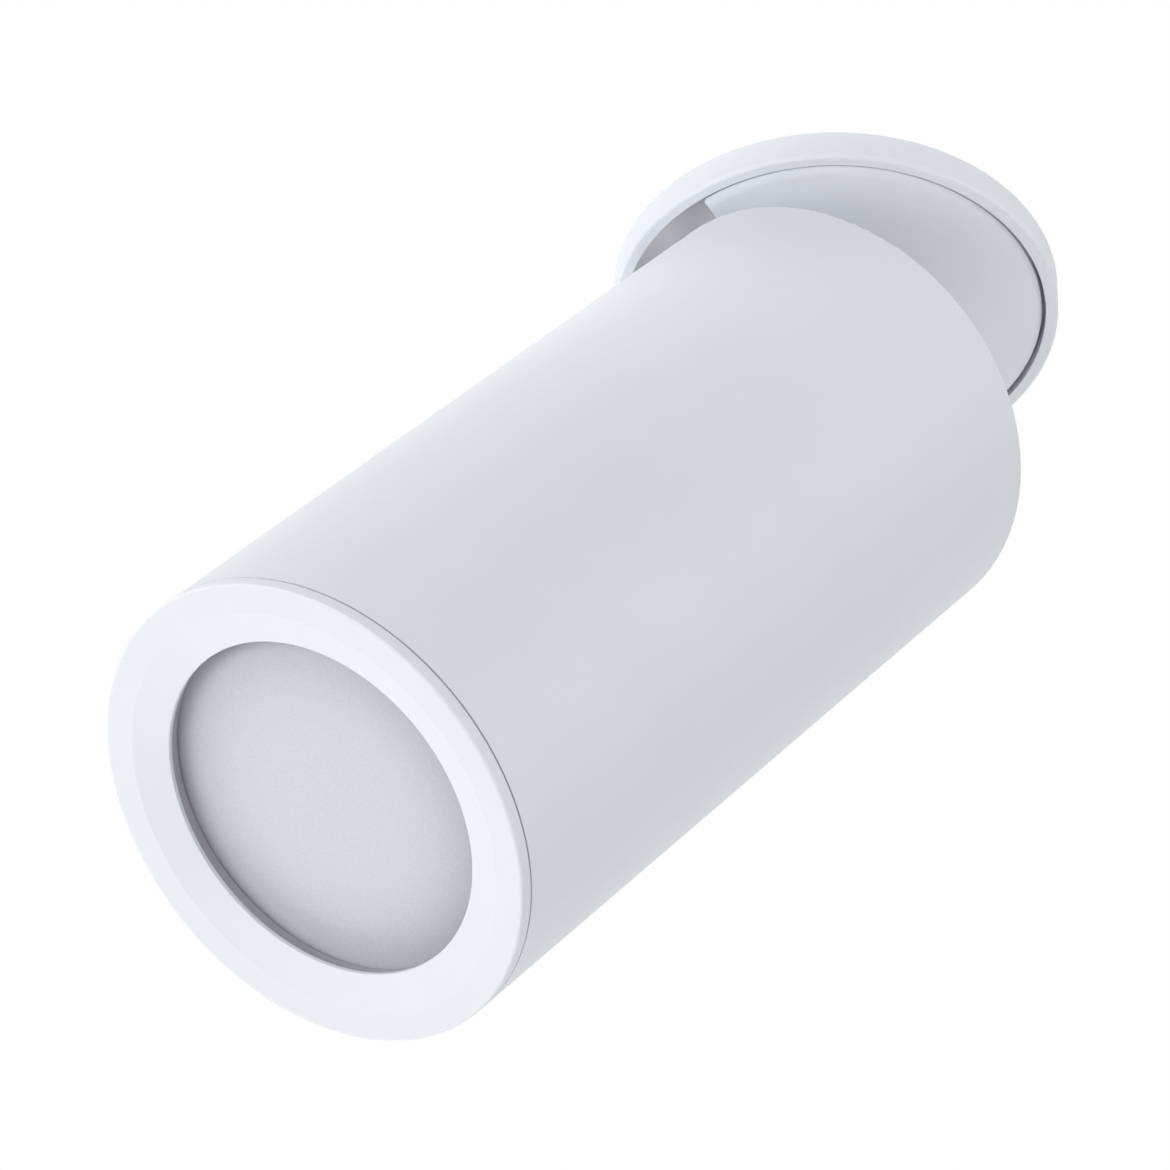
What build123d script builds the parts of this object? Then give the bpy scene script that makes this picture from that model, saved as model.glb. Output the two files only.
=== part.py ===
from build123d import *
import math
import os

# Recessed tilting spotlight: a slim ceiling ring, a plate that turns in it, and a tube-shaped head hinged
# on the plate, with a twist-lock reflector lamp behind a pull-off front bezel.
# Frame: origin at the centre of the trim ring's ceiling face, +Z up into the ceiling, +X the way the head
# leans, Y along the tilt hinge. All sizes are in millimetres.
# The head is drawn hanging straight down and is then swung about the hinge to the stored tilt.

# Trim ring, which lies on the ceiling
RING_R = 30.0
RING_H = 4.5
RING_EDGE = 0.5
RING_WALL = 1.65
COLLAR_SET = 2.75
COLLAR_WALL = 1.25
COLLAR_H = 5.0
SHELF_T = 1.2
WEB_T = 2.5

# Turntable plate
PLATE_GAP = 0.58
PLATE_RECESS = 0.05
PLATE_T = 2.55
PLATE_SKIN = 0.75
RIM_WIDTH = 1.4
RIM_FALL = 0.42
NOTCH_R = 12.45
NOTCH_CLEAR = 0.45
NOTCH_CORNER = 0.8
NOTCH_EDGE = 0.25
NOTCH_FLOOR = 0.5
NOTCH_LAP = 1.2
FOOT_GAP = 0.2
ARM_GAP = 0.4
STEM_R = 8.0
STEM_BORE = 5.5
STEM_FIT = 0.06
STEM_PROUD = 1.0
SHOULDER_R = 11.0
BEARING_T = 0.5
FRICTION_T = 0.6
NUT_ACROSS = 20.0
NUT_T = 4.0
BUSH_WALL = 1.2
BUSH_FLANGE = 1.5
BUSH_T = 1.0

# Stops of the turning travel
STOP_PIN_R = 1.5
STOP_CLEAR = 1.5
STOP_DROP = 1.9
STOP_OVERLAP = 1.0
STOP_SOCKET = 1.2

# Recess housing above the ceiling
CUP_R = 20.0
CUP_WALL = 1.2
CUP_H = 33.0
BRIM_EDGE = 0.1
BRIM_T = 1.2
HOUSING_SCREWS = 4
HOUSING_SCREW_CLEAR = 0.1

# Spring clips
CLIP_ANGLES = {"a": 0.0, "b": 180.0}
CLIP_CLEAR = 0.3
CLIP_PIVOT_UP = 4.8
CLIP_PIN_R = 1.2
CLIP_HEAD_R = 1.8
CLIP_HEAD_T = 0.5
CLIP_FIT = 0.06
CLIP_BARREL_R = 2.2
CLIP_WIDTH = 8.0
CLIP_REACH = 26.0
CLIP_T = 1.2
CLIP_BARREL_GAP = 4.4
EAR_GAP = 0.4
EAR_T = 1.0
EAR_LENGTH = 3.6
PAD_LENGTH = 9.0
PAD_WIDTH = 9.0
PAD_WALL = 0.8
PAD_DEPTH = 2.6
SPRING_WIRE = 0.8
SPRING_FIT = 0.2
SPRING_TAIL = 3.2
SPRING_LEG = 12.0

# Terminal block and cable inlet
BLOCK_SIZE = (24.0, 14.0, 12.0)
BLOCK_Y = -5.0
POLES = 3
POLE_PITCH = 7.5
POLE_SCREW_R = 1.6
POLE_SCREW_Y = 4.0
POLE_WELL_R = 2.1
POLE_WELL = 2.5
WIRE_BORE = 1.35
TERMINAL_SLOT = 0.6
BLOCK_EDGE = 1.0
BLOCK_THREAD = 3.0
INLET_CLEAR = 2.8
INLET_HOLE = 4.2
INLET_BORE = 3.0

# Tilt hinge
TILT = 35.8
HANG_GAP = 4.5
HINGE_SET = 6.8
HINGE_DEPTH = 4.8
HINGE_SCREW_R = 1.5
HINGE_FIT = 0.08
EYE_R = 3.8
ARM_T = 3.0
ARM_FACE = 0.3
ARM_WIDTH = 4.6
ARM_RISE = 3.7
GUSSET_CLEAR = 0.7
GUSSET_SEAT = 2.7
FOOT_CLEAR = 1.2
FOOT_T = 1.8
FOOT_WIDTH = 14.0
FOOT_SCREW_SET = 2.7
FOOT_SCREW_Y = 4.6
WASHER_T = 0.5
WASHER_R = 3.4
LUG_T = 3.0
LUG_R = 4.0
HINGE_HEAD_R = 3.0
HINGE_HEAD_T = 2.0
HINGE_NUT_ACROSS = 5.5
HINGE_NUT_T = 2.4
HINGE_TAIL = 0.8
POCKET_CLEAR = 0.4

# Tube and rear cap
TUBE_R = 30.0
TUBE_WALL = 1.5
TUBE_L = 113.0
TUBE_EDGE = 0.5
CAP_T = 3.0
CAP_SET_BACK = 0.5
CAP_FIT = 0.05
SLOT_CLEAR = 0.4
BOSS_SET = 3.5
BOSS_R = 2.9
BOSS_L = 20.0
BOSS_THREAD = 10.0
BOSS_ANGLES = (60.0, 180.0, 300.0)
CABLE_HOLE = 5.0
CABLE_BORE = 2.75
GROMMET_FLANGE = 1.5
GROMMET_T = 1.0
EARTH_X = -14.0
EARTH_R = 3.2
EARTH_T = 0.8
EARTH_TAB = 7.0
EARTH_TAB_WIDTH = 2.8
EARTH_THREAD = 1.5

# Front bezel
GROOVE = 0.25
BEZEL_FRONT = 2.0
BEZEL_EDGE = 0.4
BAND_WIDTH = 3.75
BAND_FALL = 0.2
FUNNEL_WIDTH = 4.38
FUNNEL_FALL = 1.49
LIP_T = 0.6
SKIRT_GAP = 0.3
SKIRT_WALL = 2.2
SKIRT_L = 8.0
SKIRT_FIT = 0.05
O_RING_WIRE = 1.5
O_RING_GAP = 0.1
O_RING_BACK = 5.5
GASKET_T = 1.6
GASKET_LIP = 0.5
GASKET_WIDTH = 2.8

# Lamp and lampholder
LAMP_GAP = 1.0
LAMP_L = 46.5
LENS_BACK = 2.0
LENS_RIM = 2.2
LENS_T = 1.5
LENS_DOME = 0.4
LAMP_RIM = 11.5
LAMP_WALL = 3.2
LAMP_NECK_WALL = 2.0
LAMP_BASE_EDGE = 1.0
LAMP_NECK_R = 13.0
LAMP_NECK_L = 11.0
BASE_L = 9.0
BOARD_FIT = 0.1
BOARD_T = 1.6
BOARD_BACK = 5.0
CHIPS = 7
CHIP_SIZE = 3.0
CHIP_T = 0.7
CHIP_ORBIT = 12.0
PIN_ORBIT = 5.0
PIN_NECK_R = 1.55
PIN_NECK_L = 3.0
PIN_HEAD_R = 2.4
PIN_HEAD_L = 4.0
PIN_EDGE = 0.5
TWIST = 25.0
PIN_CLEAR = 0.35
HOLDER_R = 15.5
HOLDER_H = 22.0
HOLDER_GAP = 0.2
HOLDER_FACE_T = 2.6
HOLDER_FLAT = 12.0
HOLDER_SCREW_X = 10.0
HOLDER_THREAD = 7.0
STRAP_HOLE_R = 3.0
STRAP_T = 1.2
STRAP_WIDTH = 12.0
STRAP_Y = 19.0
STRAP_FOOT = 7.0
STRAP_SCREW_Y = 15.0

# Screws
M3_R = 1.5
M3_HEAD_R = 2.9
M3_HEAD_H = 1.6
M3_PAN_H = 1.8
SOCKET_R = 1.1
SOCKET_DEPTH = 0.9
SCREW_SPARE = 1.0
HOLE_FIT = 0.05

BASE = (Align.CENTER, Align.CENTER, Align.MIN)
NEAR = 0.01

# Heights and radii that follow from the sizes above, with the head hanging straight down
ring_face = -RING_H
ring_bore = RING_R - RING_WALL
collar_r = RING_R - COLLAR_SET
plate_r = ring_bore - PLATE_GAP
plate_low = ring_face + PLATE_RECESS
plate_top = plate_low + PLATE_T
web_top = COLLAR_H
web_low = web_top - WEB_T
brim_top = web_top + BRIM_T
cup_top = web_top + CUP_H
clip_z = brim_top + CLIP_PIVOT_UP
housing_orbit = CUP_R + M3_HEAD_R + HOUSING_SCREW_CLEAR
brim_r = housing_orbit + M3_HEAD_R + BRIM_EDGE
clip_x = CUP_R + SPRING_TAIL + CLIP_CLEAR
stop_orbit = SHOULDER_R + STOP_PIN_R + STOP_CLEAR
inlet_y = BLOCK_Y + BLOCK_SIZE[1] / 2 + INLET_HOLE + GROMMET_FLANGE + INLET_CLEAR
tube_top = ring_face - HANG_GAP
tube_end = tube_top - TUBE_L
tube_bore = TUBE_R - TUBE_WALL
cap_top = tube_top - CAP_SET_BACK
cap_low = cap_top - CAP_T
hinge_x = TUBE_R - HINGE_SET
hinge_z = tube_top - HINGE_DEPTH
arm_outer = hinge_x + ARM_FACE
arm_inner = arm_outer - ARM_WIDTH
gusset_inner = stop_orbit + STOP_PIN_R + GUSSET_CLEAR
foot_inner = SHOULDER_R + FOOT_CLEAR
foot_outer = gusset_inner + GUSSET_SEAT
foot_screw_x = foot_inner + FOOT_SCREW_SET
notch_x = arm_inner - NOTCH_CLEAR + NOTCH_R
boss_orbit = tube_bore - BOSS_SET
lens_front = tube_end + LENS_BACK
skirt_r = tube_bore - SKIRT_GAP
skirt_bore = skirt_r - SKIRT_WALL
skirt_top = tube_end + SKIRT_L
lamp_r = skirt_bore - LAMP_GAP
lens_r = lamp_r - LENS_RIM
lamp_top = lens_front + LAMP_L
lamp_bore = lamp_r - LAMP_WALL
neck_bore = LAMP_NECK_R - LAMP_NECK_WALL
holder_low = lamp_top + HOLDER_GAP
holder_top = holder_low + HOLDER_H
bezel_front = tube_end - BEZEL_FRONT
band_back = tube_end - GROOVE
band_r = TUBE_R - BAND_WIDTH
opening_r = band_r - FUNNEL_WIDTH
lip_front = bezel_front + BAND_FALL + FUNNEL_FALL
lip_back = lip_front + LIP_T

to_rest = Pos(hinge_x, 0, hinge_z) * Rot(0, -TILT, 0) * Pos(-hinge_x, 0, -hinge_z)


def rod(radius, low, high, x=0.0, y=0.0):
    """An upright cylinder between two heights."""
    return Pos(x, y, low) * Cylinder(radius, high - low, align=BASE)


def sleeve(outer, inner, low, high, x=0.0, y=0.0):
    """An upright tube between two heights."""
    return rod(outer, low, high, x, y) - rod(inner, low, high, x, y)


def block(x_span, y_span, z_span):
    """A box between two values on each axis."""
    centre = [(low + high) / 2 for low, high in (x_span, y_span, z_span)]
    size = [high - low for low, high in (x_span, y_span, z_span)]
    return Pos(*centre) * Box(*size)


def cross_rod(radius, x, z, y_low, y_high):
    """A cylinder along Y."""
    return Pos(x, y_low, z) * Rot(-90, 0, 0) * Cylinder(radius, y_high - y_low, align=BASE)


def turned(points):
    """A solid turned about Z from (radius, height) corners."""
    return revolve(Plane.XZ * make_face(Polyline(*points, close=True)), Axis.Z)


def rims(shape, radius, z):
    """The circular edges of one radius at one height."""
    circles = shape.edges().filter_by(GeomType.CIRCLE)
    return [e for e in circles if abs(e.radius - radius) < NEAR and abs(e.center().Z - z) < NEAR]


def around(angles, make):
    """Copies of a shape turned about Z to each angle."""
    return [Rot(0, 0, angle) * make() for angle in angles]


def flat_head(top, length, grow=0.0):
    """A countersunk M3 screw on the Z axis, or its hole when grown."""
    points = [
        (0, top),
        (M3_HEAD_R + grow, top),
        (M3_R + grow, top - M3_HEAD_H),
        (M3_R + grow, top - length),
        (0, top - length),
    ]
    return turned(points)


def flat_screw(top, length):
    """A countersunk screw with its hexagon socket."""
    socket = Pos(0, 0, top - SOCKET_DEPTH) * extrude(RegularPolygon(SOCKET_R, 6), SOCKET_DEPTH)
    return flat_head(top, length) - socket


def pan_screw(seat, length, up=1):
    """A pan-head screw whose head stands on a seat, above it or below it."""
    head = Cylinder(M3_HEAD_R, M3_PAN_H, align=BASE)
    head = fillet(rims(head, M3_HEAD_R, M3_PAN_H), M3_PAN_H / 2)
    socket = Pos(0, 0, M3_PAN_H - SOCKET_DEPTH) * extrude(RegularPolygon(SOCKET_R, 6), SOCKET_DEPTH)
    screw = head - socket + rod(M3_R, -length, 0)
    turn = Rot(0, 0, 0) if up > 0 else Rot(180, 0, 0)
    return Pos(0, 0, seat) * turn * screw


def grommet(hole, bore, low, high):
    """A rubber grommet that grips a panel between two heights."""
    body = rod(hole, low, high)
    for z in (low - GROMMET_T, high):
        flange = rod(hole + GROMMET_FLANGE, z, z + GROMMET_T)
        far = z if z < low else z + GROMMET_T
        body += fillet(rims(flange, hole + GROMMET_FLANGE, far), GROMMET_T / 2)
    return body - rod(bore, low - GROMMET_T, high + GROMMET_T)


def make_trim_ring():
    """The flange on the ceiling, its collar in the cut-out and the web that carries the turntable."""
    collar_bore = collar_r - COLLAR_WALL
    profile = [
        (ring_bore, ring_face),
        (RING_R, ring_face),
        (RING_R, 0),
        (collar_r, 0),
        (collar_r, web_top),
        (STEM_R + STEM_FIT, web_top),
        (STEM_R + STEM_FIT, web_low),
        (collar_bore, web_low),
        (collar_bore, -SHELF_T),
        (ring_bore, -SHELF_T),
    ]
    ring = turned(profile)
    ring = fillet(rims(ring, RING_R, ring_face), RING_EDGE)
    for angle in housing_screw_angles():
        ring -= Rot(0, 0, angle) * rod(M3_R + HOLE_FIT, web_low, web_top, housing_orbit)
    return ring - rod(STOP_PIN_R, web_low, web_top, stop_orbit)


def housing_screw_angles():
    """The angles of the screws that hold the housing, clear of both clips."""
    return [45.0 + 360.0 / HOUSING_SCREWS * i for i in range(HOUSING_SCREWS)]


def make_ring_stop_pin():
    """The pin that hangs from the web and ends the turning travel."""
    return rod(STOP_PIN_R, web_low - STOP_DROP, web_top, stop_orbit)


def make_turntable_plate():
    """The plate that turns in the ring, with its floored notch, shoulder and hollow stem."""
    outline = Circle(plate_r) - Pos(notch_x, 0) * Circle(NOTCH_R)
    outline = fillet(outline.vertices().sort_by(Axis.X)[-2:], NOTCH_CORNER)
    plate = Pos(0, 0, plate_low) * extrude(outline, PLATE_T) - rim_fall()
    plate -= Pos(notch_x, 0, plate_low) * Cone(NOTCH_R + NOTCH_EDGE, NOTCH_R, NOTCH_EDGE, align=BASE)
    plate += notch_floor()
    plate += rod(SHOULDER_R, plate_top, web_low - BEARING_T)
    plate += rod(STEM_R, plate_top, nut_top() + STEM_PROUD)
    plate -= rod(STEM_BORE, plate_low, nut_top() + STEM_PROUD)
    plate -= rod(STOP_PIN_R, plate_top - STOP_SOCKET, plate_top, -stop_orbit)
    for y in (-FOOT_SCREW_Y, FOOT_SCREW_Y):
        plate -= rod(M3_R + HOLE_FIT, plate_low + PLATE_SKIN, plate_top, foot_screw_x, y)
    return plate


def rim_fall():
    """What is turned away where the plate's face curves up softly towards its rim."""
    flat_r = plate_r - RIM_WIDTH
    dish = TangentArc((flat_r, plate_low), (plate_r, plate_low + RIM_FALL), tangent=(1, 0))
    turn = math.degrees(math.asin((RIM_WIDTH + PLATE_GAP) / dish.radius))
    dish = JernArc((flat_r, plate_low), (1, 0), dish.radius, turn)
    end = dish @ 1
    below = plate_low - PLATE_T
    under = Polyline(end, (end.X, below), (flat_r, below), (flat_r, plate_low))
    return revolve(Plane.XZ * make_face(dish + under), Axis.Z)


def notch_floor():
    """The thin floor above the notch, cut out round the hinge arm and its foot."""
    top = plate_top + NOTCH_FLOOR
    patch = Pos(notch_x, 0) * Circle(NOTCH_R + NOTCH_LAP) & Circle(plate_r)
    floor = Pos(0, 0, plate_top) * extrude(patch, NOTCH_FLOOR)
    foot_edge = foot_outer + FOOT_GAP
    foot_half = FOOT_WIDTH / 2 + FOOT_GAP
    floor -= block((foot_inner, foot_edge), (-foot_half, foot_half), (plate_top, top))
    arm_half = ARM_T / 2 + ARM_GAP
    return floor - block((foot_inner, arm_outer + ARM_GAP), (-arm_half, arm_half), (plate_top, top))


def nut_top():
    """The height of the stem nut's upper face."""
    return web_top + FRICTION_T + NUT_T


def make_turntable_stop_pin():
    """The pin on the plate that meets the ring's own pin at each end of the travel."""
    top = web_low - STOP_DROP + STOP_OVERLAP
    return rod(STOP_PIN_R, plate_top - STOP_SOCKET, top, -stop_orbit)


def make_bearing_washer():
    """The slippery washer between the plate's shoulder and the web."""
    return sleeve(SHOULDER_R, STEM_R + HOLE_FIT, web_low - BEARING_T, web_low)


def make_friction_washer():
    """The washer under the stem nut that sets the turning friction."""
    return sleeve(NUT_ACROSS / 2, STEM_R + HOLE_FIT, web_top, web_top + FRICTION_T)


def make_stem_nut():
    """The hexagon nut that holds the turntable up."""
    low = web_top + FRICTION_T
    corner_r = NUT_ACROSS / math.sqrt(3)
    nut = Pos(0, 0, low) * extrude(RegularPolygon(corner_r, 6), NUT_T)
    return nut - rod(STEM_R + HOLE_FIT, low, low + NUT_T)


def make_cable_bush():
    """The plastic bush that lines the stem where the wires come down."""
    top = nut_top() + STEM_PROUD
    bush = rod(STEM_BORE - HOLE_FIT, plate_low, top)
    flange = rod(STEM_BORE + BUSH_FLANGE, plate_low - BUSH_T, plate_low)
    flange = fillet(rims(flange, STEM_BORE + BUSH_FLANGE, plate_low - BUSH_T), BUSH_T / 2)
    return bush + flange - rod(STEM_BORE - BUSH_WALL, plate_low - BUSH_T, top)


def make_hinge_arm():
    """The arm that comes down through the notch to the tilt hinge, with its foot on the plate."""
    eye = Pos(hinge_x, hinge_z) * Circle(EYE_R)
    neck_low = tube_top + HANG_GAP
    neck = Pos((arm_inner + arm_outer) / 2, (neck_low + plate_top) / 2)
    neck = neck * Rectangle(arm_outer - arm_inner, plate_top - neck_low)
    blade = make_hull(eye.edges() + neck.edges())
    gusset = Pos((gusset_inner + arm_outer) / 2, plate_top + ARM_RISE / 2)
    blade += gusset * Rectangle(arm_outer - gusset_inner, ARM_RISE)
    arm = extrude(Plane.XZ * blade, ARM_T / 2, both=True)
    foot_y = (-FOOT_WIDTH / 2, FOOT_WIDTH / 2)
    arm += block((foot_inner, foot_outer), foot_y, (plate_top, plate_top + FOOT_T))
    arm -= cross_rod(HINGE_SCREW_R + HINGE_FIT, hinge_x, hinge_z, -ARM_T, ARM_T)
    for place in foot_screw_places():
        arm -= place * flat_head(plate_top + FOOT_T, FOOT_T, HOLE_FIT)
    return arm


def foot_screw_places():
    """Where the two screws of the hinge arm's foot stand."""
    return [Pos(foot_screw_x, y, 0) for y in (-FOOT_SCREW_Y, FOOT_SCREW_Y)]


def make_arm_screws():
    """The two screws that hold the hinge arm on the plate."""
    length = FOOT_T + PLATE_T - PLATE_SKIN
    return [place * flat_screw(plate_top + FOOT_T, length) for place in foot_screw_places()]


def make_recess_housing():
    """The cup above the ceiling, with its brim, the ears of both clips and the cable inlet."""
    bore = CUP_R - CUP_WALL
    profile = [
        (bore, web_top),
        (brim_r, web_top),
        (brim_r, brim_top),
        (CUP_R, brim_top),
        (CUP_R, cup_top),
        (0, cup_top),
        (0, cup_top - CUP_WALL),
        (bore, cup_top - CUP_WALL),
    ]
    cup = turned(profile)
    cup = fillet(rims(cup, CUP_R, cup_top), CUP_WALL)
    for angle in housing_screw_angles():
        cup -= Rot(0, 0, angle) * rod(M3_R + HOLE_FIT, web_top, brim_top, housing_orbit)
    for angle in CLIP_ANGLES.values():
        for ear in make_ears():
            cup += Rot(0, 0, angle) * ear
    cup -= rod(INLET_HOLE, cup_top - CUP_WALL, cup_top, 0, inlet_y)
    return cup - rod(M3_R + HOLE_FIT, cup_top - CUP_WALL, cup_top, 0, BLOCK_Y)


def make_ears():
    """The two ears that carry one clip's pin, bent up from the brim."""
    ears = []
    for side in (-1, 1):
        inner = side * (CLIP_WIDTH / 2 + EAR_GAP)
        outer = inner + side * EAR_T
        x_span = (clip_x - EAR_LENGTH / 2, clip_x + EAR_LENGTH / 2)
        ear = block(x_span, sorted((inner, outer)), (brim_top, clip_z))
        ear += cross_rod(EAR_LENGTH / 2, clip_x, clip_z, min(inner, outer), max(inner, outer))
        ears.append(ear - cross_rod(CLIP_PIN_R, clip_x, clip_z, -CLIP_WIDTH, CLIP_WIDTH))
    return ears


def make_housing_screws():
    """The screws that hold the housing's brim on the web."""
    place = Pos(housing_orbit, 0, 0)
    length = BRIM_T + WEB_T
    return around(housing_screw_angles(), lambda: place * pan_screw(brim_top, length))


def make_clip_pin():
    """One clip's pivot pin with its two heads."""
    reach = CLIP_WIDTH / 2 + EAR_GAP + EAR_T
    pin = cross_rod(CLIP_PIN_R, clip_x, clip_z, -reach, reach)
    for low in (-reach - CLIP_HEAD_T, reach):
        pin += cross_rod(CLIP_HEAD_R, clip_x, clip_z, low, low + CLIP_HEAD_T)
    return pin


def make_clip_arm():
    """One clip's lever: two barrels on the pin and a flat blade out over the ceiling board."""
    half = CLIP_WIDTH / 2
    z_span = (clip_z - CLIP_T / 2, clip_z + CLIP_T / 2)
    x_end = clip_x + CLIP_REACH
    arm = block((clip_x, x_end), (-half, half), z_span)
    for low in (-half, CLIP_BARREL_GAP / 2):
        arm += cross_rod(CLIP_BARREL_R, clip_x, clip_z, low, low + half - CLIP_BARREL_GAP / 2)
    x_clear = clip_x + CLIP_BARREL_R + SPRING_WIRE
    arm -= block((clip_x - 1, x_clear), (-CLIP_BARREL_GAP / 2, CLIP_BARREL_GAP / 2), z_span)
    arm -= cross_rod(CLIP_PIN_R + CLIP_FIT, clip_x, clip_z, -half, half)
    return arm


def make_clip_pad():
    """The soft pad over one clip's tip, thicker underneath where it bears on the board."""
    end = clip_x + CLIP_REACH
    x_span = (end - PAD_LENGTH, end + PAD_WALL)
    low = clip_z - CLIP_T / 2 - PAD_DEPTH
    high = clip_z + CLIP_T / 2 + PAD_WALL
    pad = block(x_span, (-PAD_WIDTH / 2, PAD_WIDTH / 2), (low, high))
    pad = fillet(pad.edges().filter_by(Axis.Y), PAD_WALL / 2)
    half = CLIP_WIDTH / 2
    z_span = (clip_z - CLIP_T / 2, clip_z + CLIP_T / 2)
    return pad - block((end - PAD_LENGTH - 1, end), (-half, half), z_span)


def make_clip_spring():
    """One clip's torsion spring: its coils as one sleeve, with a leg on the blade and a short tail."""
    bore = CLIP_PIN_R + SPRING_FIT
    half = CLIP_BARREL_GAP / 2 - SPRING_FIT
    coil = cross_rod(bore + SPRING_WIRE, clip_x, clip_z, -half, half)
    above = clip_z + CLIP_T / 2
    leg_x = (clip_x, clip_x + SPRING_LEG)
    leg = block(leg_x, (half - SPRING_WIRE, half), (above, above + SPRING_WIRE))
    tail_x = (clip_x - SPRING_TAIL, clip_x)
    tail = block(tail_x, (-half, SPRING_WIRE - half), (above, above + SPRING_WIRE))
    return coil + leg + tail - cross_rod(bore, clip_x, clip_z, -half, half)


def make_terminal_block():
    """The screw terminal block under the housing's top."""
    length, depth, height = BLOCK_SIZE
    top = cup_top - CUP_WALL
    y_span = (BLOCK_Y - depth / 2, BLOCK_Y + depth / 2)
    body = block((-length / 2, length / 2), y_span, (top - height, top))
    body = fillet(body.edges().filter_by(Axis.Z), BLOCK_EDGE)
    for x, y in terminal_places():
        body -= rod(POLE_WELL_R, top - height, top - height + POLE_WELL, x, y)
        body -= rod(POLE_SCREW_R, top - height, top - height / 2, x, y)
    for x in pole_places():
        body -= cross_rod(WIRE_BORE, x, top - height / 2, *y_span)
    return body - rod(M3_R + HOLE_FIT, top - BLOCK_THREAD, top, 0, BLOCK_Y)


def pole_places():
    """The X of each pole of the terminal block."""
    return [(i - (POLES - 1) / 2) * POLE_PITCH for i in range(POLES)]


def terminal_places():
    """The place of each clamping screw, two to a pole."""
    ys = (BLOCK_Y - POLE_SCREW_Y, BLOCK_Y + POLE_SCREW_Y)
    return [(x, y) for x in pole_places() for y in ys]


def make_terminal_screws():
    """The slotted clamping screws of the terminal block."""
    low = cup_top - CUP_WALL - BLOCK_SIZE[2]
    top = low + BLOCK_SIZE[2] / 2 - WIRE_BORE
    seat = low + POLE_WELL
    slot_y = (-TERMINAL_SLOT / 2, TERMINAL_SLOT / 2)
    slot = block((-POLE_SCREW_R, POLE_SCREW_R), slot_y, (seat, seat + TERMINAL_SLOT))
    screw = rod(POLE_SCREW_R - HOLE_FIT, seat, top) - slot
    return [Pos(x, y, 0) * screw for x, y in terminal_places()]


def make_terminal_fixing_screw():
    """The screw that holds the terminal block from above."""
    return Pos(0, BLOCK_Y, 0) * pan_screw(cup_top, CUP_WALL + BLOCK_THREAD)


def make_inlet_grommet():
    """The grommet where the supply cable enters the housing."""
    return Pos(0, inlet_y, 0) * grommet(INLET_HOLE, INLET_BORE, cup_top - CUP_WALL, cup_top)


def make_tube():
    """The head's tube, with its hinge slot and the bosses that carry the rear cap."""
    tube = rod(TUBE_R, tube_end, tube_top)
    tube = fillet(rims(tube, TUBE_R, tube_top), TUBE_EDGE)
    tube -= rod(tube_bore, tube_end, tube_top)
    inside = rod(tube_bore + TUBE_WALL / 2, tube_end, tube_top)
    boss_low = cap_low - BOSS_L
    web = block((boss_orbit, tube_bore + TUBE_WALL / 2), (-BOSS_R, BOSS_R), (boss_low, cap_low))
    boss = (rod(BOSS_R, boss_low, cap_low, boss_orbit) + web) & inside
    for copy in around(BOSS_ANGLES, lambda: boss):
        tube += copy
    for hole in around(BOSS_ANGLES, lambda: rod(M3_R + HOLE_FIT, boss_low, cap_low, boss_orbit)):
        tube -= hole
    half = ARM_T / 2 + SLOT_CLEAR
    slot_low = hinge_z - EYE_R + SLOT_CLEAR
    tube -= block((hinge_x, TUBE_R), (-half, half), (slot_low + half, tube_top))
    slot_end = Pos(hinge_x, 0, slot_low + half) * Rot(0, 90, 0)
    return tube - slot_end * Cylinder(half, TUBE_R - hinge_x, align=BASE)


def make_rear_cap():
    """The disc that closes the tube's rear, with the two lugs of the tilt hinge."""
    cap = rod(tube_bore - CAP_FIT, cap_low, cap_top)
    gap = ARM_T / 2 + WASHER_T
    for low in (-gap - LUG_T, gap):
        lug = cross_rod(LUG_R, hinge_x, hinge_z, low, low + LUG_T)
        cap += lug + block((hinge_x - LUG_R, hinge_x + LUG_R), (low, low + LUG_T), (hinge_z, cap_low))
    slot_inner = arm_inner - SLOT_CLEAR
    cap -= block((slot_inner, TUBE_R), (-gap, gap), (hinge_z, cap_top))
    reach = gap + LUG_T
    deep = max(HINGE_HEAD_R, HINGE_NUT_ACROSS / math.sqrt(3)) + POCKET_CLEAR
    tail = reach + HINGE_NUT_T + HINGE_TAIL + POCKET_CLEAR
    for low, high in ((-tail, -reach), (reach, tail)):
        cap -= block((hinge_x - deep, TUBE_R), (low, high), (hinge_z, hinge_z + deep))
    cap -= cross_rod(HINGE_SCREW_R + HOLE_FIT, hinge_x, hinge_z, -reach, reach)
    for hole in around(BOSS_ANGLES, lambda: Pos(boss_orbit, 0, 0) * flat_head(cap_top, CAP_T, HOLE_FIT)):
        cap -= hole
    for y in (-STRAP_SCREW_Y, STRAP_SCREW_Y):
        cap -= Pos(0, y, 0) * flat_head(cap_top, CAP_T, HOLE_FIT)
    cap -= rod(M3_R + HOLE_FIT, cap_low, cap_low + EARTH_THREAD, EARTH_X)
    return cap - rod(CABLE_HOLE, cap_low, cap_top)


def make_cap_screws():
    """The three screws that hold the rear cap on the tube's bosses."""
    length = CAP_T + BOSS_THREAD
    return around(BOSS_ANGLES, lambda: Pos(boss_orbit, 0, 0) * flat_screw(cap_top, length))


def make_strap_screws():
    """The two screws that hold the lampholder's strap under the rear cap."""
    length = CAP_T + STRAP_T
    return [Pos(0, y, 0) * flat_screw(cap_top, length) for y in (-STRAP_SCREW_Y, STRAP_SCREW_Y)]


def make_cable_grommet():
    """The grommet where the wires enter the head."""
    return grommet(CABLE_HOLE, CABLE_BORE, cap_low, cap_top)


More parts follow.
